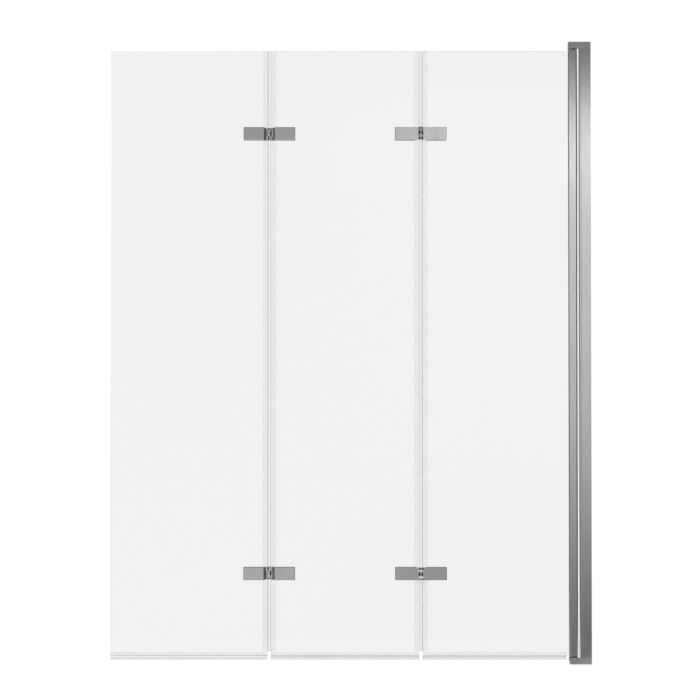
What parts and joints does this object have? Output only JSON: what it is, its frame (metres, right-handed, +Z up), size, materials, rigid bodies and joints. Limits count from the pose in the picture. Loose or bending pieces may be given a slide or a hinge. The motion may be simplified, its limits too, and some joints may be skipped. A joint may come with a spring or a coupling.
{
  "type": "folding bath screen",
  "caption": "Frameless folding bath screen: clear glass panels joined by slim plate hinges, swinging on a chrome wall profile with pivot caps.",
  "frame": {"origin": "on the wall plane at the foot of the wall profile, in the middle of the glass thickness", "axes": "+X into the wall, so the screen runs towards -X; +Y towards the bath; +Z up"},
  "size_m": [1.08, 0.03, 1.4],
  "materials": {
    "chrome": "polished chrome plate",
    "anodised": "satin anodised",
    "steel": "stainless steel",
    "clear_glass": "clear toughened glass with polished edges",
    "clear_vinyl": "clear flexible vinyl",
    "rubber": "matt grey rubber",
    "nylon": "moulded nylon"
  },
  "bodies": {
    "wall_frame": {"wall_channel": "anodised", "wall_post": "chrome", "top_pivot_cap": "chrome", "bottom_pivot_cap": "chrome", "top_pivot_pin": "steel", "bottom_pivot_pin": "steel", "bottom_thrust_washer": "nylon", "cap_screws": "steel", "post_fixing_screws": "steel", "screw_cover_caps": "chrome"},
    "inner_panel": {"pivot_profile": "chrome", "top_pivot_bush": "nylon", "bottom_pivot_bush": "nylon", "top_thrust_washer": "nylon", "front_glazing_gasket": "rubber", "rear_glazing_gasket": "rubber", "pivot_seal": "clear_vinyl", "inner_glass": "clear_glass", "inner_bottom_seal": "clear_vinyl", "inner_edge_seal": "clear_vinyl", "inner_hinge_gaskets": "rubber", "inner_hinge_screws": "steel", "inner_glass_sleeves": "nylon", "inner_fold_washers": "nylon", "lower_inner_fold_pin_leaf": "chrome", "lower_inner_fold_pin_clamp": "chrome", "lower_inner_fold_hinge_pin": "steel", "upper_inner_fold_pin_leaf": "chrome", "upper_inner_fold_pin_clamp": "chrome", "upper_inner_fold_hinge_pin": "steel"},
    "middle_panel": {"middle_glass": "clear_glass", "middle_bottom_seal": "clear_vinyl", "middle_right_edge_seal": "clear_vinyl", "middle_left_edge_seal": "clear_vinyl", "middle_hinge_gaskets": "rubber", "middle_hinge_screws": "steel", "middle_glass_sleeves": "nylon", "outer_fold_washers": "nylon", "lower_inner_fold_swing_leaf": "chrome", "lower_inner_fold_swing_clamp": "chrome", "lower_outer_fold_pin_leaf": "chrome", "lower_outer_fold_pin_clamp": "chrome", "lower_outer_fold_hinge_pin": "steel", "upper_inner_fold_swing_leaf": "chrome", "upper_inner_fold_swing_clamp": "chrome", "upper_outer_fold_pin_leaf": "chrome", "upper_outer_fold_pin_clamp": "chrome", "upper_outer_fold_hinge_pin": "steel"},
    "outer_panel": {"outer_glass": "clear_glass", "outer_bottom_seal": "clear_vinyl", "outer_edge_seal": "clear_vinyl", "outer_hinge_gaskets": "rubber", "outer_hinge_screws": "steel", "outer_glass_sleeves": "nylon", "lower_outer_fold_swing_leaf": "chrome", "lower_outer_fold_swing_clamp": "chrome", "upper_outer_fold_swing_leaf": "chrome", "upper_outer_fold_swing_clamp": "chrome"}
  },
  "joints": [
    {"name": "wall_pivot", "type": "hinge", "parent": "wall_frame", "child": "inner_panel", "pos_m": [-0.0375, 0, 0.7], "axis": [0, 0, 1], "range_deg": [-90, 0]},
    {"name": "inner_fold", "type": "hinge", "parent": "inner_panel", "child": "middle_panel", "pos_m": [-0.3825, -0.0095, 0.698], "axis": [0, 0, 1], "range_deg": [0, 180]},
    {"name": "outer_fold", "type": "hinge", "parent": "middle_panel", "child": "outer_panel", "pos_m": [-0.7235, 0.0095, 0.698], "axis": [0, 0, 1], "range_deg": [-180, 0]}
  ]
}
